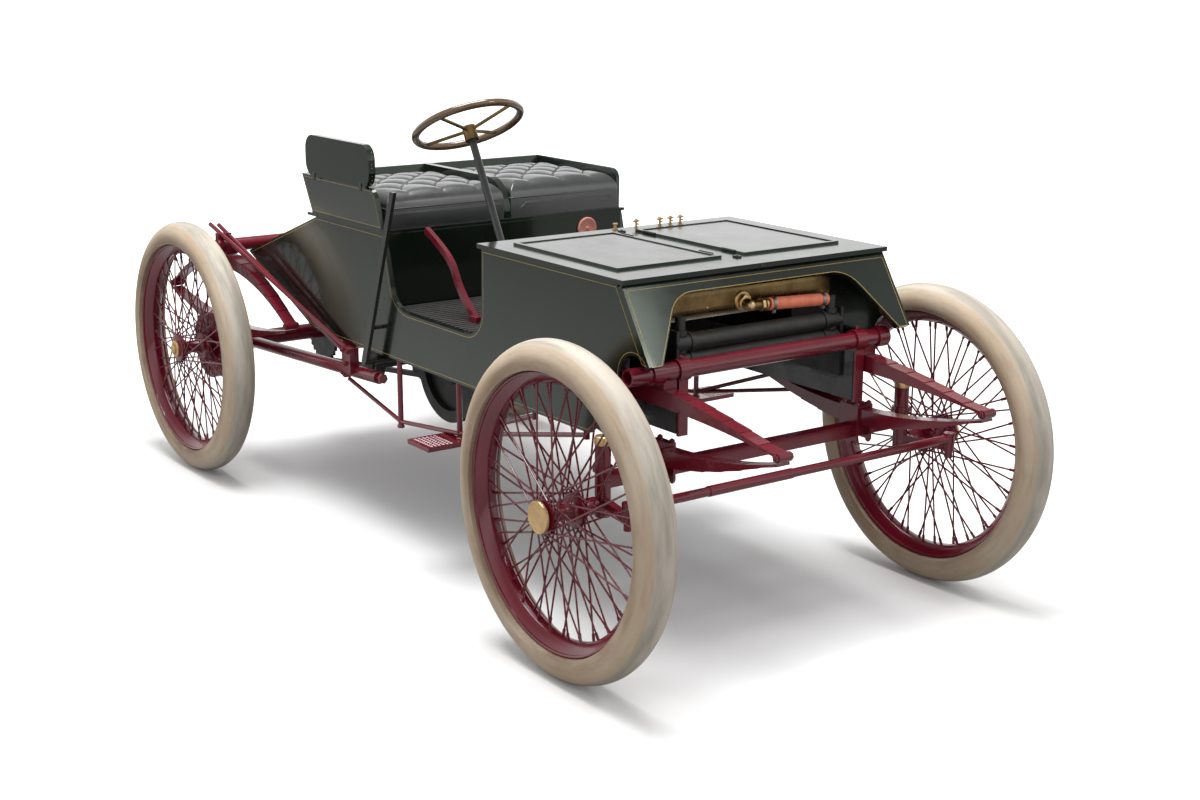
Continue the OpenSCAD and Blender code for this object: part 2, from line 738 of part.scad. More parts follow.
// Raked front panel with its arch: leaning legs, round corners and a flat top
module front_panel() {
    arch_half_w = half_w - 47;
    leg_lean = 32;
    corner_r = 98;
    corner_y = arch_half_w - arch_h * tan(leg_lean) - corner_r * tan((90 - leg_lean) / 2);
    face_len = norm([nose_low.x - nose_top_x, bonnet_z - nose_low.y]);
    arch = concat(
        arc([corner_y, arch_h - corner_r], corner_r, leg_lean, 90, 8),
        arc([-corner_y, arch_h - corner_r], corner_r, 90, 180 - leg_lean, 8));
    color(dark_green)
        translate([nose_low.x - nose_back, 0, nose_low.y])
            rotate([0, -nose_lean, 0])
                rotate([90, 0, 90])
                    linear_extrude(board_t)
                        difference() {
                            translate([-half_w, 0]) square([2 * half_w, face_len - board_t * tan(nose_lean)]);
                            polygon(concat(arch, [[-arch_half_w, 0], [-arch_half_w, -1],
                                                  [arch_half_w, -1], [arch_half_w, 0]]));
                        }
}

// Bonnet top with its two lids, hinged beside the centre line
bonnet_x = [472, 1204];
bonnet_over = 6;
lid_x = 556;
lid_y = 42;
lid_w = half_w - lid_y - lid_margin;
lid_lap = 16;
lid_t = 7;
hinge_lift = 5;
bead = 12;
top_z = bonnet_z + bonnet_top_t;

module bonnet_top() {
    color(dark_green)
        difference() {
            block([bonnet_x[0], -half_w - bonnet_over, bonnet_z + fit],
                  [bonnet_x[1], half_w + bonnet_over, top_z]);
            for (s = [-1, 1])
                block([lid_x + lid_lap, s > 0 ? lid_y + lid_lap : -lid_y - lid_w + lid_lap, bonnet_z - 1],
                      [lid_x + lid_len - lid_lap, s > 0 ? lid_y + lid_w - lid_lap : -lid_y - lid_lap,
                       top_z + 1]);
        }
}

// A lid: a board with a raised bead round its edge
module lid(side) {
    y_low = side > 0 ? lid_y : -lid_y - lid_w;
    color(dark_green) {
        difference() {
            block([lid_x, y_low, top_z + fit], [lid_x + lid_len, y_low + lid_w, top_z + lid_t]);
            block([lid_x + bead, y_low + bead, top_z + lid_t - 3],
                  [lid_x + lid_len - bead, y_low + lid_w - bead, top_z + lid_t + 1]);
        }
        for (x = [lid_x + 70, lid_x + lid_len - 70])
            translate([x, side * lid_y, top_z + hinge_lift]) rotate([0, 90, 0])
                cylinder(h = 60, r = hinge_lift - 1, center = true);
    }
}

module lid_right() { lid(-1); }
module lid_left() { lid(1); }

// Floor, bulkhead, seat riser and tail
inner_w = half_w - board_t - fit;
bulkhead_x = 520;

module floor_boards() {
    color(dark_green)
        difference() {
            union() {
                block([door_rear_x + board_t, -inner_w, floor_z - 12],
                      [bulkhead_x + board_t, inner_w, floor_z]);
                block([bulkhead_x, -inner_w, floor_z - 12], [bulkhead_x + board_t, inner_w, bonnet_z - fit]);
            }
            at_steering() translate([0, 0, -900]) cylinder(h = 500, d = column_d + 2 * fit);
        }
}

module seat_riser() {
    color(dark_green)
        block([door_rear_x, -inner_w, floor_z - 12], [door_rear_x + board_t - fit, inner_w, seat_z]);
}

module tail_deck() {
    fall = (seat_z - tail[1]) / (seat_rear_x - tail[0]);
    rear_x = tail[0] + board_t / fall;
    color(dark_green)
        upright_plate([[tail[0], tail[1]], [seat_rear_x, seat_z], [door_rear_x - fit, seat_z],
                       [door_rear_x - fit, seat_z - board_t], [seat_rear_x, seat_z - board_t],
                       [rear_x, tail[1]]], -inner_w, 2 * inner_w);
}

// Seat: base, sides, back and the divider between the cushions
base_t = 10;
base_over = 6;
base_front_x = -104;
base_rear_x = -640;
base_z = seat_z + base_t;
side_t = 14;
side_flare = 15;
divider_t = 25;
side_foot_y = half_w - 2;
side_lean = atan(side_flare / seat_side_h);
back_lean_x = 40;
back_x = -616;
side_front_x = -124;

module seat_side(s) {
    corner_r = 45;
    front_lean = 12;
    outline = concat(
        [[back_x, 0], [side_front_x, 0]],
        arc([side_front_x - front_lean - corner_r, seat_side_h - corner_r], corner_r, 6, 90, 6),
        [[back_x - back_lean_x, seat_side_h]]);
    translate([0, s * side_foot_y, base_z])
        rotate([-s * side_lean, 0, 0])
            translate([0, s > 0 ? 0 : side_t, -lap])
                rotate([90, 0, 0]) linear_extrude(side_t) polygon(outline);
}

module seat_shell() {
    divider_r = 110;
    color(dark_green) {
        block([base_rear_x, -half_w - base_over, seat_z + fit], [base_front_x, half_w + base_over, base_z]);
        for (s = [-1, 1])
            seat_side(s);
        upright_plate([[back_x, base_z - lap], [back_x + side_t, base_z - lap],
                       [back_x + side_t - back_lean_x, base_z + seat_side_h],
                       [back_x - back_lean_x, base_z + seat_side_h]],
                      -side_foot_y + 4, 2 * side_foot_y - 8);
        upright_plate(concat([[-612, base_z - lap], [-112, base_z - lap]],
                             arc([-112 - divider_r, base_z + seat_side_h - divider_r], divider_r, 0, 90, 8),
                             [[-640, base_z + seat_side_h]]),
                      -divider_t / 2, divider_t);
    }
}

module side_guard() {
    guard_x = [-600, -150];
    guard_t = 24;
    guard_r = 48;
    guard_y = -side_foot_y - side_flare - 12;
    guard_low = base_z + seat_side_h + fit;
    color(dark_green)
        translate([0, guard_y + guard_t, 0]) rotate([90, 0, 0]) linear_extrude(guard_t)
            polygon(concat(
                arc([guard_x[1] - guard_r, guard_low + guard_r], guard_r, -90, 0, 6),
                arc([guard_x[1] - guard_r, guard_low + guard_h - guard_r], guard_r, 0, 90, 6),
                arc([guard_x[0] + guard_r, guard_low + guard_h - guard_r], guard_r, 90, 180, 6),
                arc([guard_x[0] + guard_r, guard_low + guard_r], guard_r, 180, 270, 6)));
}

// Cushions, one each side of the divider
cushion_h = 124;

module cushion(s) {
    low_y = divider_t / 2 + 2;
    high_y = side_foot_y - side_t - 2;
    top = base_z + cushion_h;
    outline = concat([[-586, base_z + fit], [-112, base_z + fit], [-112, top - 36]],
                     arc([-148, top - 36], 36, 0, 90, 5),
                     arc([-580, top - 30], 30, 90, 170, 5));
    color(black) upright_plate(outline, s > 0 ? low_y : -high_y, high_y - low_y);
}

module cushion_right() { cushion(-1); }
module cushion_left() { cushion(1); }

// Steering wheel and column, drawn about the wheel's middle
steering_mid = [88, -half_w + 205, 1372];
column_len = 690;

module at_steering() {
    translate(steering_mid) rotate([0, -column_lean, 0]) children();
}

module steering_rim() {
    color("#6b4424")
        at_steering() rotate_extrude($fn = 72)
            translate([(steering_d - steering_rim_d) / 2, 0]) circle(d = steering_rim_d, $fn = 32);
}

module steering_spider() {
    hub_d = 44;
    spider_turn = 28;
    spoke_end = (steering_d - steering_rim_d) / 2;
    color(brass)
        at_steering()
            difference() {
                union() {
                    translate([0, 0, -52]) cylinder(h = 46, d = hub_d);
                    for (a = [spider_turn:90:spider_turn + 270])
                        bar([12 * cos(a), 12 * sin(a), -18], [spoke_end * cos(a), spoke_end * sin(a), 0], 11);
                }
                translate([0, 0, -60]) cylinder(h = 34, d = column_d + 2 * fit);
                rotate_extrude($fn = 72)
                    translate([spoke_end, 0]) circle(d = steering_rim_d + 2 * fit, $fn = 32);
            }
}

module steering_column() {
    color(black) at_steering() translate([0, 0, -27 - column_len]) cylinder(h = column_len, d = column_d);
}

// Levers
module hand_lever() {
    top = [31, 1171];
    foot = [-190, 583];
    lever_y = -half_w - 44;
    lever_t = 12;
    color(black) {
        upright_plate([[foot[0] - 15, foot[1]], [foot[0] + 15, foot[1]],
                       [top[0] + 12, top[1]], [top[0] - 12, top[1]]],
                      lever_y, lever_t);
        bar([foot[0], lever_y, foot[1]], [foot[0], -rail_y, foot[1]], 24);
        block([foot[0] - 22, -rail_y - rail_t, foot[1] - 22], [foot[0] + 22, -rail_y, rail_bottom - fit]);
        bar([-140, lever_y + 6, 706], [-140, -half_w - fit, 706], 14);
    }
}

// Points of a smooth curve through the inner points of a list
function smooth(p, steps) =
    [for (i = [1:len(p) - 3], k = [0:steps - 1])
        let (t = k / steps, a = p[i - 1], b = p[i], c = p[i + 1], d = p[i + 2])
        b + ((c - a) * t + (2 * a - 5 * b + 4 * c - d) * t * t + (3 * b - a - 3 * c + d) * t * t * t) / 2];

// Points at the distance to one side of a line
function beside(line, distance) =
    [for (i = [1:len(line) - 2])
        let (run = line[i + 1] - line[i - 1])
        line[i] + distance * [-run.y, run.x] / norm(run)];

module foot_lever() {
    lever_y = -half_w + 110;
    lever_t = 16;
    width = 22;
    foot_x = [244, 288];
    bend = [[280, 760], [266, 778], [236, 806], [196, 840], [158, 884], [130, 930], [92, 964], [18, 1005],
            [-80, 1050], [-98, 1058]];
    spine = smooth(bend, 4);
    left = beside(spine, width / 2);
    right = beside(spine, -width / 2);
    color(red) {
        upright_plate(concat(left, [for (i = [len(right) - 1:-1:0]) right[i]]), lever_y, lever_t);
        block([foot_x[0], lever_y - 8, floor_z + fit], [foot_x[1], lever_y + lever_t + 8, floor_z + 22]);
    }
}

tyre_front_right();
tyre_front_left();
tyre_rear_right();
tyre_rear_left();
wheel_front_right();
wheel_front_left();
wheel_rear_right();
wheel_rear_left();
hub_cap_front_right();
hub_cap_front_left();
hub_cap_rear_right();
hub_cap_rear_left();
front_axle();
knuckle_right();
knuckle_left();
tie_rod();
springs_upper();
springs_lower();
spring_clamps();
rear_axle();
drive_chain();
radius_tubes();
stay_rods();
truss_rods();
frame_rails();
cross_tubes();
engine_block();
flywheel();
brass_tank();
tank_hose();
pipe_bank();
body_sides();
front_panel();
bonnet_top();
lid_right();
lid_left();
floor_boards();
seat_riser();
tail_deck();
seat_shell();
side_guard();
cushion_right();
cushion_left();
steering_column();
steering_spider();
steering_rim();
hand_lever();
foot_lever();
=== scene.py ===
"""Looks of the racing car: paint, leather, brass, tyres and small fittings on the fixed frame."""

import math

import bmesh
import bpy
from mathutils import Matrix, Vector


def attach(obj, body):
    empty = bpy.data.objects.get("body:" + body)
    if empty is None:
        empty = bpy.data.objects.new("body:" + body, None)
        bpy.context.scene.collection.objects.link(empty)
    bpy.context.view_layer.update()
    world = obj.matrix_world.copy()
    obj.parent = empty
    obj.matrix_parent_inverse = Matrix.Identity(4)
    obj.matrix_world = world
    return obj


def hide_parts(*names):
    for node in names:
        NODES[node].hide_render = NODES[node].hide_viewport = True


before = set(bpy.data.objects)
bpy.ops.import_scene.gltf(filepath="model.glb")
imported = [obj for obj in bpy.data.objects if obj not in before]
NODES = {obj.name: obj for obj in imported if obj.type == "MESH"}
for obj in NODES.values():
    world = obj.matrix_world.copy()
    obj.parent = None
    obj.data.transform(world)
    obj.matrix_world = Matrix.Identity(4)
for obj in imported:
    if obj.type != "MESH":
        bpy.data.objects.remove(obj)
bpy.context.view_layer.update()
MM = 0.001
SIDES = {"right": -1, "left": 1}


# Shader node groups that several finishes share

def socket(name, value):
    kind = "NodeSocketColor" if isinstance(value, tuple) else "NodeSocketFloat"
    return kind, name, value


def node_group(name, given, made):
    group = bpy.data.node_groups.new(name, "ShaderNodeTree")
    for kind, label, value in given:
        group.interface.new_socket(label, in_out="INPUT", socket_type=kind).default_value = value
    for kind, label, _ in made:
        group.interface.new_socket(label, in_out="OUTPUT", socket_type=kind)
    return group, group.nodes.new("NodeGroupInput").outputs, group.nodes.new("NodeGroupOutput").inputs


def add_node(tree, kind, settings=None, **links):
    node = tree.nodes.new(kind)
    for key, value in (settings or {}).items():
        if hasattr(node, key):
            setattr(node, key, value)
        else:
            node.inputs[key].default_value = value
    for key, source in links.items():
        tree.links.new(source, node.inputs[key.replace("_", " ")])
    return node


def mix_colours(tree, factor, first, second):
    mix = tree.nodes.new("ShaderNodeMix")
    mix.data_type = "RGBA"
    for index, value in ((0, factor), (6, first), (7, second)):
        if isinstance(value, (tuple, float)):
            mix.inputs[index].default_value = value
        else:
            tree.links.new(value, mix.inputs[index])
    return mix.outputs[2]


def multiply(tree, a, b):
    node = tree.nodes.new("ShaderNodeMath")
    node.operation = "MULTIPLY"
    for index, value in ((0, a), (1, b)):
        if isinstance(value, float):
            node.inputs[index].default_value = value
        else:
            tree.links.new(value, node.inputs[index])
    return node.outputs[0]


def cloud_mask(tree, scale, low, high, detail=6.0):
    """A cloudy mask in the piece's own space; its scale is a number or a group's input."""
    place = add_node(tree, "ShaderNodeTexCoord").outputs["Object"]
    cloud = add_node(tree, "ShaderNodeTexNoise", {"Detail": detail, "Roughness": 0.62}, Vector=place)
    if isinstance(scale, float):
        cloud.inputs["Scale"].default_value = scale
    else:
        tree.links.new(scale, cloud.inputs["Scale"])
    spread = add_node(tree, "ShaderNodeMapRange", {"From Min": low, "From Max": high}, Value=cloud.outputs["Fac"])
    return spread.outputs["Result"]


def make_mottle():
    group, given, made = node_group(
        "Mottle", [socket("Light", (1, 1, 1, 1)), socket("Dark", (0, 0, 0, 1)), socket("Scale", 8.0),
                   socket("Amount", 0.5)], [socket("Colour", (0, 0, 0, 1))])
    mask = multiply(group, cloud_mask(group, given["Scale"], 0.36, 0.68), given["Amount"])
    group.links.new(mix_colours(group, mask, given["Light"], given["Dark"]), made["Colour"])
    return group


def make_uneven_gloss():
    group, given, made = node_group(
        "Uneven Gloss", [socket("Smooth", 0.1), socket("Rough", 0.3), socket("Scale", 12.0)],
        [socket("Roughness", 0.0)])
    mask = cloud_mask(group, given["Scale"], 0.3, 0.7)
    spread = add_node(group, "ShaderNodeMapRange", None, Value=mask)
    group.links.new(given["Smooth"], spread.inputs["To Min"])
    group.links.new(given["Rough"], spread.inputs["To Max"])
    group.links.new(spread.outputs["Result"], made["Roughness"])
    return group


def make_fine_relief():
    group, given, made = node_group("Fine Relief", [socket("Scale", 200.0)], [socket("Height", 0.0)])
    group.links.new(cloud_mask(group, given["Scale"], 0.2, 0.8, 3.0), made["Height"])
    return group


def make_settled_dust():
    group, given, made = node_group(
        "Settled Dust", [socket("Colour", (0, 0, 0, 1)), socket("Dust", (0.4, 0.36, 0.3, 1)), socket("Amount", 0.1)],
        [socket("Colour", (0, 0, 0, 1))])
    facing = add_node(group, "ShaderNodeNewGeometry").outputs["Normal"]
    up = add_node(group, "ShaderNodeSeparateXYZ", None, Vector=facing)
    level = add_node(group, "ShaderNodeMapRange", {"From Min": 0.25, "From Max": 1.0}, Value=up.outputs["Z"])
    patchy = cloud_mask(group, 9.0, 0.3, 0.75)
    mask = multiply(group, multiply(group, level.outputs["Result"], patchy), given["Amount"])
    group.links.new(mix_colours(group, mask, given["Colour"], given["Dust"]), made["Colour"])
    return group


MOTTLE = make_mottle()
UNEVEN_GLOSS = make_uneven_gloss()
FINE_RELIEF = make_fine_relief()
SETTLED_DUST = make_settled_dust()


def use_group(tree, group, values, **links):
    node = tree.nodes.new("ShaderNodeGroup")
    node.node_tree = group
    for key, value in values.items():
        node.inputs[key].default_value = value
    for key, source in links.items():
        tree.links.new(source, node.inputs[key])
    return node.outputs


def colour(red, green, blue):
    """A screen colour of 0 to 255 as the shader's linear colour."""
    def linear(c):
        c = c / 255
        return c / 12.92 if c <= 0.04045 else ((c + 0.055) / 1.055) ** 2.4
    return (linear(red), linear(green), linear(blue), 1.0)


def make_finish(name, light, dark, scale=8.0, amount=0.5, gloss=(0.1, 0.2), relief=(200.0, 0.02), dust=0.0,
                metallic=0.0, coat=0.0, coat_roughness=0.03, ior=1.5, sheen_tint=(1, 1, 1, 1)):
    finish = bpy.data.materials.new(name)
    finish.use_nodes = True
    tree = finish.node_tree
    shader = tree.nodes["Principled BSDF"]
    base = use_group(tree, MOTTLE, {"Light": light, "Dark": dark, "Scale": scale, "Amount": amount})["Colour"]
    if dust:
        base = use_group(tree, SETTLED_DUST, {"Amount": dust}, Colour=base)["Colour"]
    tree.links.new(base, shader.inputs["Base Color"])
    rough = use_group(tree, UNEVEN_GLOSS, {"Smooth": gloss[0], "Rough": gloss[1], "Scale": scale * 1.7})
    tree.links.new(rough["Roughness"], shader.inputs["Roughness"])
    height = use_group(tree, FINE_RELIEF, {"Scale": relief[0]})["Height"]
    bump = add_node(tree, "ShaderNodeBump", {"Strength": relief[1], "Distance": 0.002}, Height=height)
    tree.links.new(bump.outputs["Normal"], shader.inputs["Normal"])
    shader.inputs["Metallic"].default_value = metallic
    shader.inputs["Coat Weight"].default_value = coat
    shader.inputs["Coat Roughness"].default_value = coat_roughness
    shader.inputs["IOR"].default_value = ior
    shader.inputs["Specular Tint"].default_value = sheen_tint
    return finish


RED_ENAMEL = make_finish("red_enamel", colour(106, 14, 33), colour(62, 9, 20), 5.0, 0.5, (0.14, 0.28),
                         (260.0, 0.03), dust=0.02, coat=0.3)
GREEN_BLACK = make_finish("green_black_paint", colour(18, 24, 18), colour(11, 15, 12), 3.0, 0.6, (0.12, 0.24),
                          (180.0, 0.012), dust=0.02, coat=0.38, coat_roughness=0.05,
                          sheen_tint=(0.87, 1.0, 0.87, 1))
BLACK_ENAMEL = make_finish("black_enamel", colour(34, 35, 35), colour(18, 18, 18), 9.0, 0.6, (0.2, 0.38),
                           (220.0, 0.04), dust=0.05, coat=0.3)
BLACK_IRON = make_finish("black_iron", colour(30, 30, 29), colour(14, 14, 14), 14.0, 0.7, (0.35, 0.6),
                         (300.0, 0.16), dust=0.08)
AGED_BRASS = make_finish("aged_brass", colour(218, 186, 138), colour(158, 124, 80), 26.0, 0.6, (0.3, 0.5),
                         (400.0, 0.06), metallic=1.0)
# Dull, darker brass for the tank and the steering spider; on the tank part of the darkness is painted shade, for the
# tank sits in shadow deep inside the body
TANK_BRASS = make_finish("tank_brass", colour(140, 116, 76), colour(64, 50, 30), 9.0, 0.9, (0.22, 0.4),
                         (300.0, 0.05), metallic=1.0)
STEEL = make_finish("worn_steel", colour(150, 148, 144), colour(90, 86, 82), 40.0, 0.6, (0.25, 0.45),
                    (500.0, 0.08), metallic=1.0)
RED_RUBBER = make_finish("red_rubber", colour(226, 126, 94), colour(178, 88, 66), 30.0, 0.6, (0.45, 0.62),
                         (420.0, 0.2), dust=0.05)
COPPER_RED = make_finish("copper_red", colour(196, 128, 112), colour(150, 84, 70), 30.0, 0.5, (0.35, 0.5),
                         (420.0, 0.1))
GOLD_LINE = make_finish("gold_line", colour(168, 142, 62), colour(120, 98, 44), 60.0, 0.6, (0.3, 0.45),
                        (500.0, 0.02), coat=0.5)
BLACK_LEATHER = make_finish("black_leather", colour(30, 32, 33), colour(18, 19, 20), 14.0, 0.6, (0.28, 0.4),
                            (420.0, 0.12), dust=0.01, coat=1.0, coat_roughness=0.28, ior=1.7)
FLOOR_COVER = make_finish("floor_cover", colour(38, 38, 37), colour(24, 24, 23), 40.0, 0.7, (0.7, 0.9),
                          (600.0, 0.6), dust=0.06)


def make_rim_wood():
    finish = make_finish("rim_wood", colour(106, 80, 50), colour(62, 45, 27), 30.0, 0.4, (0.16, 0.3),
                         (300.0, 0.03), coat=0.8)
    tree = finish.node_tree
    shader = tree.nodes["Principled BSDF"]
    base = shader.inputs["Base Color"].links[0].from_socket
    place = add_node(tree, "ShaderNodeTexCoord").outputs["Object"]
    grain = add_node(tree, "ShaderNodeTexWave", {"Scale": 60.0, "Distortion": 9.0, "Detail": 3.0,
                                                 "Detail Scale": 2.0}, Vector=place)
    mask = multiply(tree, grain.outputs["Fac"], 0.5)
    tree.links.new(mix_colours(tree, mask, base, colour(50, 33, 19)), shader.inputs["Base Color"])
    return finish


def make_cream_tyre():
    """Old pale rubber: streaks round the wheel, tan walls, brown by the rim and a greyer tread."""
    finish = make_finish("cream_tyre", colour(190, 174, 153), colour(170, 150, 127), 4.0, 0.7, (0.5, 0.7),
                         (160.0, 0.06))
    tree = finish.node_tree
    shader = tree.nodes["Principled BSDF"]
    base = shader.inputs["Base Color"].links[0].from_socket

    def streaks(scale, low, high):
        skin = add_node(tree, "ShaderNodeAttribute", {"attribute_name": "skin"}).outputs["Vector"]
        cloud = add_node(tree, "ShaderNodeTexNoise", {"Scale": scale, "Detail": 5.0, "Roughness": 0.6}, Vector=skin)
        spread = add_node(tree, "ShaderNodeMapRange", {"From Min": low, "From Max": high}, Value=cloud.outputs["Fac"])
        return spread.outputs["Result"]

    def mark(name):
        return add_node(tree, "ShaderNodeAttribute", {"attribute_name": name}).outputs["Fac"]

    base = mix_colours(tree, multiply(tree, streaks(1.5, 0.4, 0.7), 0.6), base, colour(172, 143, 112))
    base = mix_colours(tree, multiply(tree, streaks(4.0, 0.5, 0.8), 0.35), base, colour(112, 92, 74))
    base = mix_colours(tree, multiply(tree, mark("tread"), 0.65), base, colour(184, 180, 172))
    worn = multiply(tree, mark("tread"), streaks(1.6, 0.44, 0.62))
    base = mix_colours(tree, multiply(tree, worn, 0.7), base, colour(136, 130, 118))
    # Darker brown in streaks on the walls towards the rim
    rim_darkening = multiply(tree, mark("near_rim"), streaks(1.6, 0.25, 0.65))
    base = mix_colours(tree, multiply(tree, rim_darkening, 0.75), base, colour(100, 70, 50))
    tree.links.new(base, shader.inputs["Base Color"])
    return finish


RIM_WOOD = make_rim_wood()
CREAM_TYRE = make_cream_tyre()


def make_floor_finish():
    """White studio floor: dimmer in reflections and as bounced light, and lit up evenly away from the car."""
    finish = make_finish("pale_floor", (0.88, 0.88, 0.88, 1), (0.85, 0.85, 0.85, 1), 1.0, 0.4, (0.75, 0.85),
                         (60.0, 0.01))
    tree = finish.node_tree
    shader = tree.nodes["Principled BSDF"]
    base = shader.inputs["Base Color"].links[0].from_socket
    rays = add_node(tree, "ShaderNodeLightPath").outputs
    dim = mix_colours(tree, rays["Is Camera Ray"], (0.36, 0.36, 0.36, 1), base)
    tree.links.new(dim, shader.inputs["Base Color"])
    place = add_node(tree, "ShaderNodeTexCoord").outputs["Object"]
    far = tree.nodes.new("ShaderNodeVectorMath")
    far.operation = "LENGTH"
    tree.links.new(place, far.inputs[0])
    fade = add_node(tree, "ShaderNodeMapRange", {"From Min": 2.2, "From Max": 5.0, "To Max": 0.9},
                    Value=far.outputs["Value"])
    shader.inputs["Emission Color"].default_value = (1, 1, 1, 1)
    tree.links.new(multiply(tree, fade.outputs["Result"], rays["Is Camera Ray"]), shader.inputs["Emission Strength"])
    return finish


# Building meshes

class Shape:
    """Points and faces of one piece, in millimetres until it is done."""

    def __init__(self):
        self.points, self.faces, self.marks = [], [], {}

    def add(self, points, faces):
        first = len(self.points)
        self.points += [Vector(p) for p in points]
        self.faces += [[first + i for i in face] for face in faces]
        return first

    def turned(self, profile, origin, axis, steps=24, phase=0.0):
        """A profile of (radius, height) turned about the axis."""
        axis = Vector(axis).normalized()
        across = axis.orthogonal().normalized()
        other = axis.cross(across)
        rings, points = [], []
        for radius, height in profile:
            centre = Vector(origin) + axis * height
            if radius < 1e-6:
                rings.append([len(points)])
                points.append(centre)
                continue
            rings.append(range(len(points), len(points) + steps))
            for i in range(steps):
                a = phase + 2 * math.pi * i / steps
                points.append(centre + (across * math.cos(a) + other * math.sin(a)) * radius)
        faces = []
        for low, high in zip(rings, rings[1:]):
            for i in range(steps):
                j = (i + 1) % steps
                if len(low) == 1 and len(high) == 1:
                    continue
                if len(low) == 1:
                    faces.append([low[0], high[j], high[i]])
                elif len(high) == 1:
                    faces.append([low[i], low[j], high[0]])
                else:
                    faces.append([low[i], low[j], high[j], high[i]])
        return self.add(points, faces)

    def rod(self, start, end, d, sides=10):
        run = Vector(end) - Vector(start)
        r, reach, soft = d / 2, run.length, min(d * 0.12, 1.5)
        self.turned([(0, 0), (r - soft, 0), (r, soft), (r, reach - soft), (r - soft, reach), (0, reach)],
                    start, run, sides)

    def nut(self, centre, axis, across, height, phase=0.0):
        r = across / 2 / math.cos(math.pi / 6)
        self.turned([(0, 0), (r, 0), (r, height * 0.82), (r * 0.86, height), (0, height)], centre, axis, 6, phase)

    def bolt(self, centre, axis, across, height, stud=4.0):
        self.nut(centre, axis, across, height)
        tip = Vector(centre) + Vector(axis).normalized() * height
        self.turned([(across * 0.28, -1), (across * 0.28, stud - 1), (across * 0.2, stud), (0, stud)], tip, axis, 10)

    def stud_head(self, centre, axis, d, height):
        r = d / 2
        self.turned([(r, 0), (r * 0.92, height * 0.45), (r * 0.6, height * 0.85), (0, height)], centre, axis, 10)

    def pipe(self, path, d, sides=10, closed=False):
        path = [Vector(p) for p in path]
        count, points, faces = len(path), [], []
        side = None
        for i, p in enumerate(path):
            before = path[i - 1] if i or closed else p
            after = path[(i + 1) % count] if i + 1 < count or closed else p
            along = (after - before).normalized()
            side = along.orthogonal() if side is None else side - along * side.dot(along)
            side.normalize()
            up = along.cross(side)
            for k in range(sides):
                a = 2 * math.pi * k / sides
                points.append(p + (side * math.cos(a) + up * math.sin(a)) * d / 2)
        for i in range(count if closed else count - 1):
            for k in range(sides):
                m = (k + 1) % sides
                j = (i + 1) % count
                faces.append([i * sides + k, i * sides + m, j * sides + m, j * sides + k])
        if not closed:
            faces += [list(range(sides))[::-1], [(count - 1) * sides + k for k in range(sides)]]
        self.add(points, faces)

    def ribbon(self, path, normal, width, lift=0.4, closed=True):
        """A painted line: a thin strip along the path, a little off the surface."""
        path = [Vector(p) for p in path]
        normal = Vector(normal).normalized()
        count, points, faces = len(path), [], []
        for i, p in enumerate(path):
            before = (p - path[i - 1]) if i or closed else (path[1] - p)
            after = (path[(i + 1) % count] - p) if i + 1 < count or closed else before
            before, after = before.normalized(), after.normalized()
            out = (before.cross(normal) + after.cross(normal)).normalized()
            stretch = 1 / max(out.dot(after.cross(normal)), 0.4)
            points += [p + out * width / 2 * stretch + normal * lift, p - out * width / 2 * stretch + normal * lift]
        for i in range(count if closed else count - 1):
            j = (i + 1) % count
            faces.append([2 * i, 2 * j, 2 * j + 1, 2 * i + 1])
        self.add(points, faces)

    def board(self, low, high, soft=1.5):
        """A box with its edges eased."""
        low, high = Vector(low), Vector(high)
        made = bmesh.new()
        bmesh.ops.create_cube(made, size=1.0)
        for v in made.verts:
            v.co = Vector(low[i] + (v.co[i] + 0.5) * (high[i] - low[i]) for i in range(3))
        bmesh.ops.bevel(made, geom=made.edges[:], offset=soft, segments=2, affect="EDGES")
        made.verts.index_update()
        self.add([v.co.copy() for v in made.verts], [[v.index for v in f.verts] for f in made.faces])
        made.free()

    def done(self, name, body, finish, sharp=35.0):
        mesh = bpy.data.meshes.new(name)
        mesh.from_pydata([p * MM for p in self.points], [], self.faces)
        made = bmesh.new()
        made.from_mesh(mesh)
        bmesh.ops.recalc_face_normals(made, faces=made.faces)
        for face in made.faces:
            face.smooth = True
        for edge in made.edges:
            if len(edge.link_faces) == 2 and edge.calc_face_angle(0) > math.radians(sharp):
                edge.smooth = False
        made.to_mesh(mesh)
        made.free()
        for label, values in self.marks.items():
            if isinstance(values[0], tuple):
                flat = [v for value in values for v in value]
                mesh.attributes.new(label, "FLOAT_VECTOR", "POINT").data.foreach_set("vector", flat)
            else:
                mesh.attributes.new(label, "FLOAT", "POINT").data.foreach_set("value", values)
        mesh.materials.append(finish)
        piece = bpy.data.objects.new(name, mesh)
        bpy.context.scene.collection.objects.link(piece)
        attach(piece, body)
        return piece


def arc(centre, r, a0, a1, steps):
    turn = [math.radians(a0 + (a1 - a0) * i / steps) for i in range(steps + 1)]
    return [(centre[0] + r * math.cos(a), centre[1] + r * math.sin(a)) for a in turn]


def inset(outline, gap):
    """A closed flat outline moved inward by the gap."""
    count = len(outline)
    area = sum(outline[i - 1][0] * outline[i][1] - outline[i][0] * outline[i - 1][1] for i in range(count))
    turn = 1 if area > 0 else -1

    def inward(along):
        return Vector((-along.y, along.x)) * turn

    moved = []
    for i in range(count):
        a, b, c = (Vector(outline[k % count]) for k in (i - 1, i, i + 1))
        before, after = (b - a).normalized(), (c - b).normalized()
        way = (inward(before) + inward(after)).normalized()
        moved.append(tuple(b + way * gap / max(way.dot(inward(after)), 0.35)))
    return moved


# Sizes shared with the frame, in millimetres

AXLE_X = 1219.0
WHEEL_Y = 691.5
WHEEL_Z = 467.0
RIM_R = 386.0
HALF_W = 478.0
SPOKES = 15
SPOKE_LEAD = math.radians(70)
# Flange, direction of the lead, share of a step at the rim
SPOKE_SETS = ((1, 1, 0.0), (-1, -1, 0.25), (1, -1, 0.5), (-1, 1, 0.75))
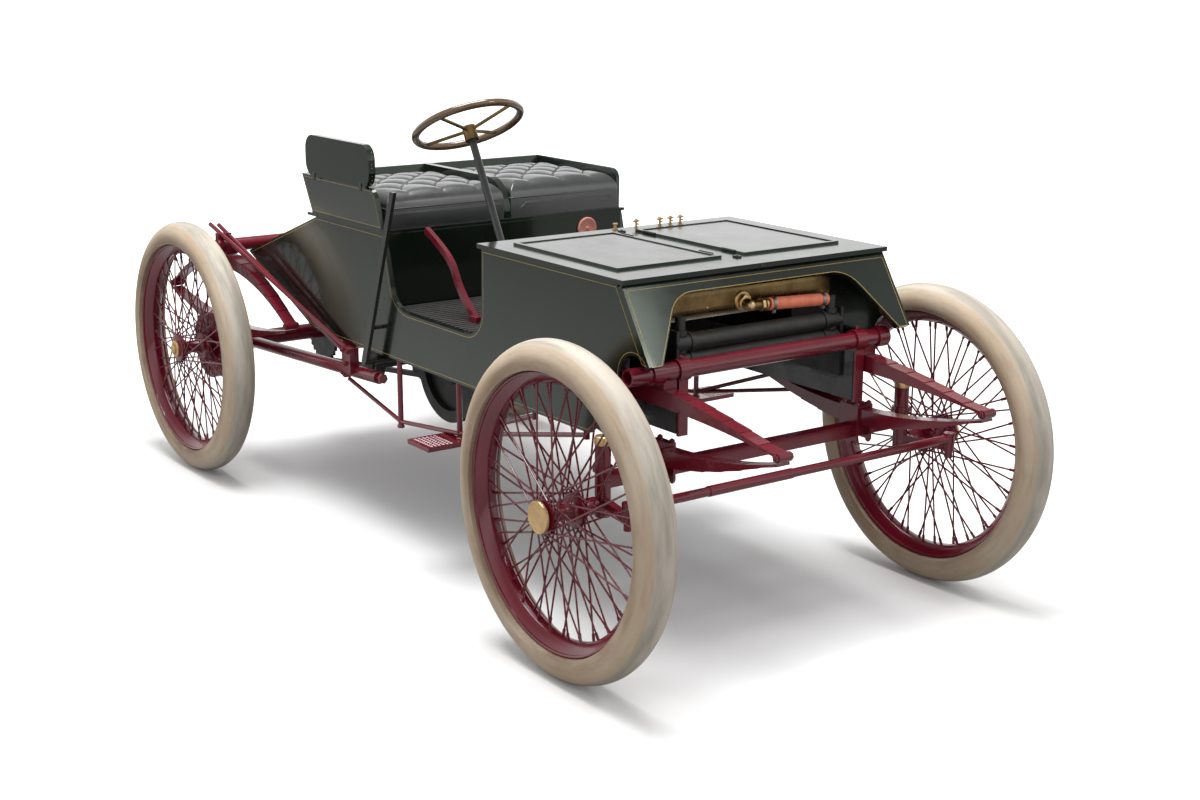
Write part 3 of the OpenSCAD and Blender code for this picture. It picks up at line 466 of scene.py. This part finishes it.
# Place of the spokes' feet along the hub, at the outer and the inner flange
FOOT_PLACE = {1: 50.0, -1: -43.0}
SEAT_FLOOR = 1026.0
SEAT_SIDE_H = 134.0
WHEELS = {f"{end}_{side}": (x, SIDES[side]) for end, x in (("front", AXLE_X), ("rear", -AXLE_X)) for side in SIDES}


# Wheels and tyres

def build_tyre(wheel, x, side):
    """A round tyre with a worn tread band and a moulded rib on each wall."""
    shape = Shape()
    section, ring_r, steps, turns = 57.6, 409.0, 60, 192
    start = math.acos((RIM_R + 0.6 - ring_r) / section)
    profile, tread, near_rim, across = [], [], [], []
    for i in range(steps + 1):
        a = -start + 2 * start * i / steps
        rib = 0.9 * math.exp(-((abs(a) - 1.95) / 0.05) ** 2) + 0.5 * math.exp(-((abs(a) - 0.72) / 0.04) ** 2)
        r = section - 0.9 + rib
        profile.append((ring_r + r * math.cos(a), r * math.sin(a)))
        tread.append(max(0.0, min(1.0, (0.8 - abs(a)) / 0.3)))
        near_rim.append(max(0.0, min(1.0, (abs(a) - 1.2) / 0.7)))
        across.append(a)
    for ending in ((RIM_R + 0.6, 0.0), profile[0]):
        profile.append(ending)
        tread.append(0.0)
        near_rim.append(1.0)
        across.append(start)
    shape.turned(profile, (x, side * WHEEL_Y, WHEEL_Z), (0, side, 0), turns)
    shape.marks["tread"] = [t for t in tread for _ in range(turns)]
    shape.marks["near_rim"] = [t for t in near_rim for _ in range(turns)]
    own = 3.0 * list(WHEELS).index(wheel)  # so that no two tyres wear the same streaks
    around = [2 * math.pi * k / turns for k in range(turns)]
    shape.marks["skin"] = [(0.9 * math.cos(t) + own, 0.9 * math.sin(t), 0.8 * a) for a in across for t in around]
    piece = shape.done(f"tyre_skin_{wheel}", f"{wheel}_wheel", CREAM_TYRE, 60)
    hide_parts(f"tyre_{wheel}")


def build_wire_wheel(wheel, x, side):
    """Rim with rolled edges, crossed spokes with their nipples, and a turned hub."""
    shape = Shape()
    middle, axis = Vector((x, side * WHEEL_Y, WHEEL_Z)), Vector((0, side, 0))
    rim = [(RIM_R, -36.0)] + [(381 + 5 * math.cos(t), -37 + 5 * math.sin(t)) for t in
                              [math.radians(d) for d in (-30, -90, -150, -200)]]
    rim += [(366, -28), (352.5, -16), (349.6, -10), (349.6, 10), (352.5, 16), (366, 28)]
    rim += [(381 + 5 * math.cos(t), 37 + 5 * math.sin(t)) for t in [math.radians(d) for d in (200, 150, 90, 30)]]
    rim += [(RIM_R, 36.0), (RIM_R, -36.0)]
    shape.turned(rim, middle, axis, 144)
    hub = [(16.2, -52), (30, -52), (44, -51), (48, -50), (48, -47.5), (45, -46), (45, -39), (48, -37.5), (48, -35.5),
           (40, -34), (30, -33), (26, -29), (23, -18), (23, 20), (26, 36), (30, 41), (40, 42), (48, 43.5), (48, 45.5),
           (45, 47), (45, 54), (48, 55.5), (48, 58), (44, 59), (32, 60), (30, 63), (0, 63)]
    shape.turned(hub, middle, axis, 48)

    def spot(r, turn, w):
        return middle + axis * w + Vector((r * math.cos(turn), 0, -side * r * math.sin(turn)))

    step = 2 * math.pi / SPOKES
    for flange, way, share in SPOKE_SETS:
        for i in range(SPOKES):
            at_rim = (i + share) * step
            foot = spot(45, at_rim - way * SPOKE_LEAD, FOOT_PLACE[flange] + 2.6 * way * flange)
            head = spot(353, at_rim, flange * (7 + 3 * way))
            along = (head - foot).normalized()
            shape.rod(foot, head, 5.4, 8)
            shape.rod(head - along * 24, head + along * 1, 8.8, 8)
            shape.rod(foot, foot + along * 14, 7.0, 8)
    piece = shape.done(f"spoked_{wheel}", f"{wheel}_wheel", RED_ENAMEL, 38)
    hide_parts(f"wheel_{wheel}")


def build_hub_cap(wheel, x, side):
    shape = Shape()
    middle, axis = (x, side * WHEEL_Y, WHEEL_Z), (0, side, 0)
    if x > 0:
        profile = [(0, 63.4), (30, 63.4), (38, 67), (44, 69), (46, 71), (46, 75), (44.5, 78), (42, 78.8),
                   (40, 78.6), (38.5, 77), (20, 77.6), (6, 78), (0, 78)]
        shape.turned(profile, middle, axis, 64)
    else:
        profile = [(0, 63.4), (28, 63.4), (31, 65), (31, 69), (28, 71), (22, 71.5), (0, 71.5)]
        shape.turned(profile, middle, axis, 48)
        shape.nut(Vector(middle) + Vector(axis) * 71, axis, 34, 7.6)
    piece = shape.done(f"cap_{wheel}", f"{wheel}_wheel", AGED_BRASS, 38)
    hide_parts(f"hub_cap_{wheel}")


# Painted lines

def side_outline():
    lower = [(-1150, 818), (-630, 611), (1040, 611), (1130, 690), (1150, 760)]
    scallop = arc((1247, 808), 62, 190, 34, 10)
    nose = [(1302, 842), (1170, 1052), (489, 1052)]
    door = arc((395, 869), 92, -8, -90, 6) + arc((34, 887), 110, -90, -172, 6)
    return lower + scallop + nose + door + [(-113, 1016), (-581, 1016)]


NOSE_FOOT = Vector((1321, 0, 842))
NOSE_RISE = Vector((1189 - 1321, 0, 1052 - 842)).normalized()
NOSE_OUT = Vector((NOSE_RISE.z, 0, -NOSE_RISE.x))


def on_nose(across, up):
    return NOSE_FOOT + Vector((0, across, 0)) + NOSE_RISE * up


def nose_outline():
    """The front panel's outline: up one side, down the other and back over the arch."""
    foot, top, corner_r, lean = HALF_W - 47, 194.0, 98.0, 32.0
    corner = foot - top * math.tan(math.radians(lean)) - corner_r * math.tan(math.radians((90 - lean) / 2))
    arch = arc((corner, top - corner_r), corner_r, lean, 90, 8)
    arch += arc((-corner, top - corner_r), corner_r, 90, 180 - lean, 8)
    return [(-HALF_W, 0), (-HALF_W, 238), (HALF_W, 238), (HALF_W, 0), (foot, 0)] + arch + [(-foot, 0)]


SEAT_LEAN = math.atan(15 / SEAT_SIDE_H)


def seat_side_outline():
    return [(-616, 0), (-124, 0)] + arc((-181, SEAT_SIDE_H - 45), 45, 6, 90, 6) + [(-656, SEAT_SIDE_H)]


def build_lines():
    lines = Shape()
    width = 1.9
    lines.ribbon([on_nose(a, u) for a, u in inset(nose_outline(), 10)], NOSE_OUT, width)
    for side in (-1, 1):
        lines.ribbon([(px, side * HALF_W, pz) for px, pz in inset(side_outline(), 9)], (0, side, 0), width)
        out = Vector((0, side * math.cos(SEAT_LEAN), -math.sin(SEAT_LEAN)))
        seat = [(px, side * (476 + up * math.sin(SEAT_LEAN)), SEAT_FLOOR + up * math.cos(SEAT_LEAN))
                for px, up in inset(seat_side_outline(), 9)]
        lines.ribbon(seat, out, width)
    lines.done("gold_lines", "car", GOLD_LINE)


# Seat cushions: deep diamond tufts, a plain front border and welts

def build_cushion(name, y_low, y_high):
    shape = Shape()
    rear, front, floor = -584.0, -113.0, SEAT_FLOOR + 0.6
    long_n, wide_n, edge, welt_z = 120, 116, 50.0, 1094.0
    pitch_x, pitch_y, first_row = 150.0, 128.0, 84.0
    y_mid = (y_low + y_high) / 2

    def tuft(px, py):
        along, over = (px - front + first_row) / pitch_x, (py - y_mid) / pitch_y
        if along > 0:
            puff = abs(math.sin(math.pi * over)) ** 0.4
            return 13 * puff - 8 * math.exp(-((over - round(over)) ** 2 + along ** 2) / 0.006)
        a, b = along + over, along - over
        puff = (abs(math.sin(math.pi * a)) * abs(math.sin(math.pi * b))) ** 0.36
        near = (a - round(a)) ** 2 + (b - round(b)) ** 2
        return 13 * puff - 8 * math.exp(-near / 0.012)

    def height(px, py):
        gap = min(px - rear, front - px, py - y_low, y_high - py)
        u, v = (px - rear) / (front - rear), (py - y_low) / (y_high - y_low)
        crown = 8 * (1 - (2 * u - 1) ** 2) * (1 - (2 * v - 1) ** 2)
        reach = max(0.0, min(1.0, (gap - 14) / 46))
        roll = edge * (1 - math.sqrt(max(0.0, 1 - (1 - min(gap, edge) / edge) ** 2)))
        return welt_z + 42 + crown + tuft(px, py) * reach + 9 * (1 - reach) - roll

    def spread(t):
        return t + math.sin(2 * math.pi * t) * -0.08

    for i in range(long_n + 1):
        for k in range(wide_n + 1):
            px = rear + (front - rear) * spread(i / long_n)
            py = y_low + (y_high - y_low) * spread(k / wide_n)
            shape.points.append(Vector((px, py, height(px, py))))
    row = wide_n + 1
    for i in range(long_n):
        for k in range(wide_n):
            shape.faces.append([i * row + k, (i + 1) * row + k, (i + 1) * row + k + 1, i * row + k + 1])
    rim = [i * row for i in range(long_n)] + [long_n * row + k for k in range(wide_n)]
    rim += [i * row + wide_n for i in range(long_n, 0, -1)] + [k for k in range(wide_n, 0, -1)]
    centre = Vector(((rear + front) / 2, y_mid, 0))
    rings, steps = [rim], 8
    for s in range(1, steps + 1):
        t = s / steps
        ring = []
        for index in rim:
            p = shape.points[index]
            out = Vector((p.x - centre.x, p.y - centre.y, 0)).normalized()
            bulge = 1.6 * math.sin(math.pi * t)
            ring.append(len(shape.points))
            shape.points.append(Vector((p.x, p.y, p.z + (floor - p.z) * t)) + out * bulge)
        rings.append(ring)
    for low, high in zip(rings, rings[1:]):
        for i in range(len(rim)):
            j = (i + 1) % len(rim)
            shape.faces.append([low[i], low[j], high[j], high[i]])
    shape.faces.append(rings[-1][::-1])
    piece = shape.done(f"leather_{name}", "car", BLACK_LEATHER, 70)
    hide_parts(name)

    trim = Shape()
    corner, face = 10.0, front + 1.8
    loop = []
    for cx, cy, a0 in ((front, y_high, 0), (rear, y_high, 90), (rear, y_low, 180), (front, y_low, 270)):
        inward = Vector((-1 if cx == front else 1, -1 if cy == y_high else 1))
        loop += [(*p, welt_z) for p in arc((cx + inward.x * corner, cy + inward.y * corner), corner, a0, a0 + 90, 4)]
    trim.pipe(loop, 6.0, 8, closed=True)
    if y_mid < 0:
        for level in (1081.0, 1077.0):
            trim.pipe([(face, y_low + 8, level), (face, y_high - 8, level)], 2.8, 6)
    else:
        for gap in (0.0, 4.0):
            trim.pipe([(face, y_low + 34 + gap, 1056 + gap), (face, y_low + 58 + gap, 1078 - gap),
                       (face, y_high - 40 - gap, 1078 - gap), (face, y_high - 20 - gap, 1062)], 2.8, 6)
    for i in range(-8, 9):
        for k in range(-8, 9):
            px = front - first_row + (i + k) / 2 * pitch_x
            py = y_mid + (i - k) / 2 * pitch_y
            if rear + 50 < px < front - 40 and y_low + 40 < py < y_high - 40:
                trim.turned([(7, -2), (7, 1.2), (5, 2.6), (0, 3.2)], (px, py, height(px, py)), (0, 0, 1), 12)
    trim.done(f"welts_{name}", "car", BLACK_LEATHER, 50)


# Small fittings

def build_bonnet_fittings():
    brass = Shape()
    for px, py in ((494, 90), (498, 180), (498, 222), (498, 262)):
        brass.turned([(0, 0), (6, 0), (6, 3), (3.4, 4), (3.4, 16), (6, 17), (7, 22), (5, 27), (0, 28)],
                     (px, py, 1066), (0, 0, 1), 12)
        brass.rod((px, py - 13, 1086), (px, py + 13, 1086), 5)
        brass.rod((px, py, 1078), (px + 14, py, 1078), 5)
    brass.turned([(0, 0), (9, 0), (9, 4), (5, 5), (5, 14), (8, 16), (8, 20), (0, 21)], (492, 10, 1066), (0, 0, 1), 12)
    brass.done("oil_cocks", "car", AGED_BRASS)
    dark = Shape()
    for px in (540, 1094):
        dark.board((px - 12, -9, 1066), (px + 12, 9, 1071), 1.5)
        dark.stud_head((px, 0, 1071), (0, 0, 1), 9, 3)
    dark.board((1203, -9, 1054), (1206, 9, 1064), 1.0)
    dark.done("bonnet_catches", "car", BLACK_ENAMEL)


OUTLET = Vector((1150, -25, 953))
HOSE_FROM, HOSE_TO = Vector((1186, 40, 941.5)), Vector((1186, 262, 931))


def build_tank_fittings():
    brass = Shape()
    for py, pz in ((-250, 1004), (-150, 946), (-80, 1000), (70, 1002), (170, 1004), (280, 1000), (280, 946)):
        brass.stud_head((1149.6 - max(0, pz - 994) * 0.4, py, pz), (1, 0, 0), 6, 1.6)
    brass.turned([(17, -0.5), (28, -0.5), (28, 3), (26, 5), (22, 5.5), (22, 8), (17, 8)], OUTLET, (1, 0, 0), 40)
    brass.nut((1158, -25, 951.5), (1, 0, -0.18), 40, 10)
    elbow = [(0, -15.8), (8, -13.6), (13.6, -8), (15.8, 0), (13.6, 8), (8, 13.6), (0, 15.8)]
    brass.turned(elbow, (1187, -25, 944.8), (0, 0, 1), 28)
    along = (HOSE_TO - HOSE_FROM).normalized()
    brass.nut(HOSE_FROM - along * 30, along, 34, 12)
    brass.turned([(13.2, 0), (17.5, 0), (17.5, 6), (13.2, 6)], HOSE_FROM - along * 14, along, 24)
    brass.done("tank_unions", "car", AGED_BRASS)
    steel = Shape()
    band = [(17.9, -6), (19.4, -6), (19.4, -1), (18.6, 0), (19.4, 1), (19.4, 6), (17.9, 6)]
    for reach in (16, 204):
        centre = HOSE_FROM + along * reach
        steel.turned(band, centre, along, 32)
        below = centre + Vector((6, 0, -20))
        steel.board(below - Vector((5, 6, 6)), below + Vector((5, 6, 3)), 1.0)
        steel.bolt(below + Vector((4.6, 0, -2)), (1, 0, 0), 7, 3, 2)
    steel.done("hose_clips", "car", STEEL)
    black = Shape()
    for side in (-1, 1):
        for pz in (868, 818):
            black.turned([(15, 0), (20, 0), (20, 12), (15, 12)], (1190, side * 278, pz + 24), (0, 0, 1), 24)
            black.turned([(26, 0), (29, 0), (29, 14), (26, 14)], (1190, side * 240, pz), (0, side, 0), 32)
    black.done("pipe_collars", "car", BLACK_IRON)


def build_chassis_bolts():
    """Nuts, caps and pins on the springs, axles and rods."""
    red = Shape()
    for x, y, low_seat, eyes in ((AXLE_X, 369, 611.3, 687), (-AXLE_X, 530, 555, 615)):
        for side in (-1, 1):
            for end in (-1, 1):
                for face in (-1, 1):
                    red.bolt((x + end * 509, side * y + face * 22, eyes), (0, face, 0), 19, 6, 2.5)
                    red.bolt((x + end * 27, side * y + face * 25, low_seat), (0, 0, 1), 14, 7, 3)
                    if x > 0:
                        red.bolt((x + end * 28, side * y + face * 26.3, 503), (0, 0, -1), 14, 7, 3)
    for side in (-1, 1):
        for px, pz in ((-352, 592), (-318, 592), (-335, 548)):
            red.bolt((px, side * 512, pz), (0, side, 0), 15, 7, 5)
        red.bolt((-394, side * 489, 504), (0, side, 0), 22, 8, 6)
        red.nut((-150, side * 476, 528), (1, 0, 0.053), 30, 12)
        for px, pz in ((-39, 404), (335, 447)):
            red.nut((px, side * 470, pz - 20), (0, 0, 1), 22, 9)
        for py in (325, 413):
            red.bolt((1255, side * py, 846), (0, 0, 1), 12, 6, 3)
    red.done("chassis_nuts", "car", RED_ENAMEL)
    for name, side in SIDES.items():
        cap = Shape()
        cap.turned([(17.5, -9), (23.5, -9), (23.5, 8), (22.5, 10), (22.5, 13), (20, 15), (6, 15.5), (0, 15.5)],
                   (AXLE_X, side * 557, 642.4), (0, 0, 1), 32)
        cap.done(f"pivot_cap_{name}", f"{name}_knuckle", AGED_BRASS)


def build_seat_fittings():
    tacks = Shape()
    for k in range(8):
        tacks.stud_head((-150.2, -491, 1186 + k * 13), (1, 0, 0), 3.2, 1.2)
    tacks.done("guard_tacks", "car", STEEL)
    dark = Shape()
    for px in (-540, -210):
        dark.board((px - 9, -505, 1146), (px + 9, -502, 1174), 1.0)
        for pz in (1152, 1168):
            dark.stud_head((px, -505, pz), (0, -1, 0), 6, 1.8)
    dark.done("guard_straps", "car", BLACK_ENAMEL)
    disc = Shape()
    disc.turned([(0, 0), (37, 0), (39, 2), (39, 6), (36, 9), (30, 9), (27, 7), (8, 7), (5, 11), (0, 12)],
                (-97.3, 316, 968), (1, 0, 0), 40)
    disc.done("riser_disc", "car", COPPER_RED)


def build_floor_mat():
    mat = Shape()
    for k in range(26):
        px = -86 + k * 26
        mat.board((px, -452, 774), (px + 18, 452, 777.5), 1.2)
    mat.done("ribbed_mat", "car", FLOOR_COVER)


def build_step_ridges():
    red = Shape()
    for side in (-1, 1):
        for i in range(8):
            for k in range(6):
                px, py = 261 + i * 14, side * (516 + k * 14)
                red.turned([(9.4, 0), (1.5, 3), (0, 3)], (px, py, 430.8), (0, 0, 1), 4, math.pi / 4)
    red.done("step_ridges", "car", RED_ENAMEL, 20)


# Finishes of the frame's own pieces

RED_NODES = ("front_axle", "knuckle_right", "knuckle_left", "tie_rod", "springs_upper", "springs_lower",
             "spring_clamps", "rear_axle", "radius_tubes", "stay_rods", "truss_rods", "cross_tubes",
             "foot_lever", "wheel_front_right", "wheel_front_left", "wheel_rear_right", "wheel_rear_left")
GREEN_NODES = ("body_sides", "front_panel", "bonnet_top", "lid_right", "lid_left", "floor_boards", "seat_riser",
               "tail_deck", "seat_shell", "side_guard")
FRAME_FINISHES = {
    **{n: RED_ENAMEL for n in RED_NODES}, **{n: GREEN_BLACK for n in GREEN_NODES},
    **{n: BLACK_IRON for n in ("engine_block", "flywheel", "drive_chain", "pipe_bank")},
    **{n: BLACK_ENAMEL for n in ("steering_column", "hand_lever", "frame_rails")},
    **{n: BLACK_LEATHER for n in ("cushion_right", "cushion_left")},
    **{n: AGED_BRASS for n in NODES if n.startswith("hub_cap")},
    **{n: CREAM_TYRE for n in NODES if n.startswith("tyre")},
    "brass_tank": TANK_BRASS, "steering_spider": TANK_BRASS, "steering_rim": RIM_WOOD, "tank_hose": RED_RUBBER,
}
for name, node in NODES.items():
    node.data.materials.clear()
    node.data.materials.append(FRAME_FINISHES[name])

for wheel, (x, side) in WHEELS.items():
    build_tyre(wheel, x, side)
    build_wire_wheel(wheel, x, side)
    build_hub_cap(wheel, x, side)
build_lines()
build_cushion("cushion_right", -460, -14.5)
build_cushion("cushion_left", 14.5, 460)
build_bonnet_fittings()
build_tank_fittings()
build_chassis_bolts()
build_seat_fittings()
build_floor_mat()
build_step_ridges()


# Studio: pale floor, soft light, camera at the photo's angle

def build_studio():
    mesh = bpy.data.meshes.new("studio_floor")
    reach = 60.0
    mesh.from_pydata([(-reach, -reach, 0), (reach, -reach, 0), (reach, reach, 0), (-reach, reach, 0)], [],
                     [[0, 1, 2, 3]])
    mesh.materials.append(make_floor_finish())
    floor = bpy.data.objects.new("studio_floor", mesh)
    bpy.context.scene.collection.objects.link(floor)

    world = bpy.data.worlds.new("studio")
    bpy.context.scene.world = world
    world.use_nodes = True
    tree = world.node_tree
    sky = tree.nodes["Background"]
    up = add_node(tree, "ShaderNodeSeparateXYZ", None,
                  Vector=add_node(tree, "ShaderNodeTexCoord").outputs["Generated"])
    rays = add_node(tree, "ShaderNodeLightPath").outputs

    def sky_shade(low, high, horizon, zenith):
        shade = add_node(tree, "ShaderNodeMapRange", {"From Min": low, "From Max": high, "To Min": horizon,
                                                      "To Max": zenith}, Value=up.outputs["Z"]).outputs["Result"]
        return add_node(tree, "ShaderNodeCombineColor", None, Red=shade, Green=shade, Blue=shade).outputs["Color"]

    lit = mix_colours(tree, rays["Is Glossy Ray"], sky_shade(0.0, 0.7, 0.6, 0.9), sky_shade(0.28, 0.58, 1.2, 0.4))
    tree.links.new(mix_colours(tree, rays["Is Camera Ray"], lit, (1.0, 1.0, 1.0, 1.0)), sky.inputs["Color"])
    sky.inputs["Strength"].default_value = 1.0

    def panel_light(name, place, aim, size, power):
        light = bpy.data.lights.new(name, "AREA")
        light.shape, light.size, light.energy = "SQUARE", size, power
        lamp = bpy.data.objects.new(name, light)
        bpy.context.scene.collection.objects.link(lamp)
        lamp.location = place
        lamp.rotation_mode = "QUATERNION"
        lamp.rotation_quaternion = (Vector(aim) - Vector(place)).to_track_quat("-Z", "Y")

    panel_light("overhead", (-0.2, -0.5, 6.0), (0, 0, 0.4), 3.6, 470)
    panel_light("nose_softbox", (3.15, 1.15, 3.05), (1.25, -0.4, 0.95), 0.6, 14)


def build_camera():
    azimuth, elevation, roll = math.radians(54.3545), math.radians(14.4205), math.radians(0.1856)
    back = Vector((math.sin(azimuth) * math.cos(elevation), -math.cos(azimuth) * math.cos(elevation),
                   math.sin(elevation)))
    right = Vector((math.cos(azimuth), math.sin(azimuth), 0))
    up = back.cross(right)
    right, up = (right * math.cos(roll) + up * math.sin(roll), up * math.cos(roll) - right * math.sin(roll))
    data = bpy.data.cameras.new("photo_camera")
    data.sensor_width, data.lens = 36.0, 53.2305
    data.clip_start, data.clip_end = 0.05, 300.0
    camera = bpy.data.objects.new("photo_camera", data)
    bpy.context.scene.collection.objects.link(camera)
    turn = Matrix((right, up, back)).transposed()
    camera.matrix_world = Matrix.Translation(Vector((4.9195, -3.2210, 1.9276))) @ turn.to_4x4()
    bpy.context.scene.camera = camera


build_studio()
build_camera()
bpy.context.scene.view_settings.view_transform = "Standard"
